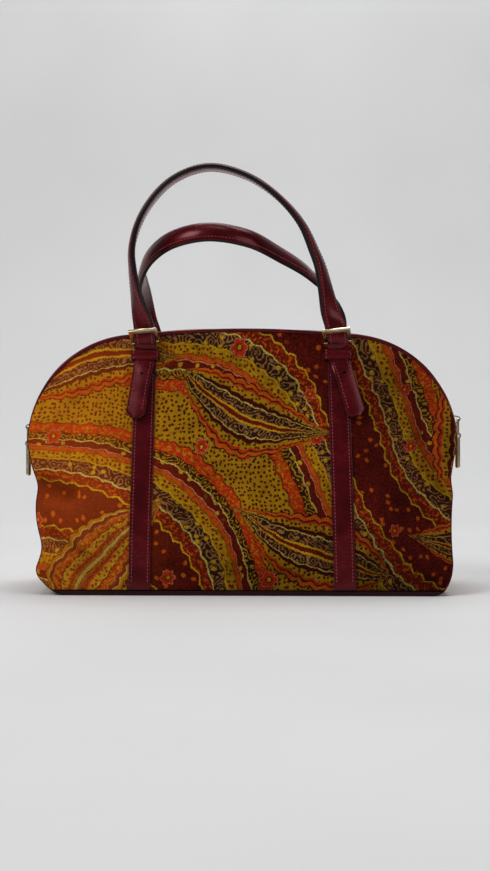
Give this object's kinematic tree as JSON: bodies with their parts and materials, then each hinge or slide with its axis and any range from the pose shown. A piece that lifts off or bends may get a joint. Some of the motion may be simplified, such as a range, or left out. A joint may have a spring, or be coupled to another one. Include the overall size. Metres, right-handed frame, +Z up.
{
  "type": "dome-shaped handbag",
  "caption": "Dome-shaped velvet handbag with two buckled leather handles and a two-slider zip over the top.",
  "frame": {"origin": "middle of the flat base, on the surface the bag stands on", "axes": "+Z up, -Y out of the front panel, +X to the right seen from the front"},
  "size_m": [0.4045, 0.1528, 0.3826],
  "materials": {
    "velvet": "printed pile",
    "leather": "polished",
    "base_leather": "satin",
    "zip_tape": "woven",
    "zip_metal": "polished",
    "gold_metal": "polished",
    "lining": "woven",
    "board": "matt"
  },
  "bodies": {
    "bag": {"front_panel": "velvet", "back_panel": "velvet", "left_gusset": "velvet", "right_gusset": "velvet", "front_zip_strip": "velvet", "back_zip_strip": "velvet", "front_zip_tape": "zip_tape", "back_zip_tape": "zip_tape", "front_zip_teeth": "zip_metal", "back_zip_teeth": "zip_metal", "base_panel": "base_leather", "base_board": "board", "lining": "lining", "front_piping": "leather", "back_piping": "leather", "front_left_strap": "leather", "front_left_keeper": "leather", "front_left_handle_tip": "leather", "front_right_strap": "leather", "front_right_keeper": "leather", "front_right_handle_tip": "leather", "back_left_strap": "leather", "back_left_keeper": "leather", "back_left_handle_tip": "leather", "back_right_strap": "leather", "back_right_keeper": "leather", "back_right_handle_tip": "leather"},
    "front_handle": {"front_handle": "leather", "front_left_buckle": "gold_metal", "front_left_prong": "gold_metal", "front_right_buckle": "gold_metal", "front_right_prong": "gold_metal"},
    "back_handle": {"back_handle": "leather", "back_left_buckle": "gold_metal", "back_left_prong": "gold_metal", "back_right_buckle": "gold_metal", "back_right_prong": "gold_metal"},
    "left_slider": {"left_slider": "gold_metal"},
    "left_pull_link": {"left_pull_link": "gold_metal"},
    "left_pull": {"left_pull": "gold_metal"},
    "right_slider": {"right_slider": "gold_metal"},
    "right_pull_link": {"right_pull_link": "gold_metal"},
    "right_pull": {"right_pull": "gold_metal"}
  },
  "joints": [
    {"name": "front_handle_swing", "type": "hinge", "parent": "bag", "child": "front_handle", "pos_m": [0, -0.04391, 0.22412], "axis": [1, 0, 0], "range_deg": [0, 90]},
    {"name": "back_handle_swing", "type": "hinge", "parent": "bag", "child": "back_handle", "pos_m": [0, 0.04391, 0.22412], "axis": [-1, 0, 0], "range_deg": [0, 90]},
    {"name": "left_slider_travel", "type": "hinge", "parent": "bag", "child": "left_slider", "pos_m": [-0.094, 0, 0.133], "axis": [0, 1, 0], "range_deg": [0, 68]},
    {"name": "left_link_swing", "type": "hinge", "parent": "left_slider", "child": "left_pull_link", "pos_m": [-0.19991, 0, 0.14788], "axis": [0, 1, 0], "range_deg": [0, 120]},
    {"name": "left_pull_swing", "type": "hinge", "parent": "left_pull_link", "child": "left_pull", "pos_m": [-0.19991, 0, 0.13259], "axis": [0, 1, 0], "range_deg": [0, 110]},
    {"name": "right_slider_travel", "type": "hinge", "parent": "bag", "child": "right_slider", "pos_m": [0.094, 0, 0.133], "axis": [0, -1, 0], "range_deg": [0, 68]},
    {"name": "right_link_swing", "type": "hinge", "parent": "right_slider", "child": "right_pull_link", "pos_m": [0.19861, 0, 0.15524], "axis": [0, -1, 0], "range_deg": [0, 120]},
    {"name": "right_pull_swing", "type": "hinge", "parent": "right_pull_link", "child": "right_pull", "pos_m": [0.19861, 0, 0.13994], "axis": [0, -1, 0], "range_deg": [0, 110]}
  ]
}
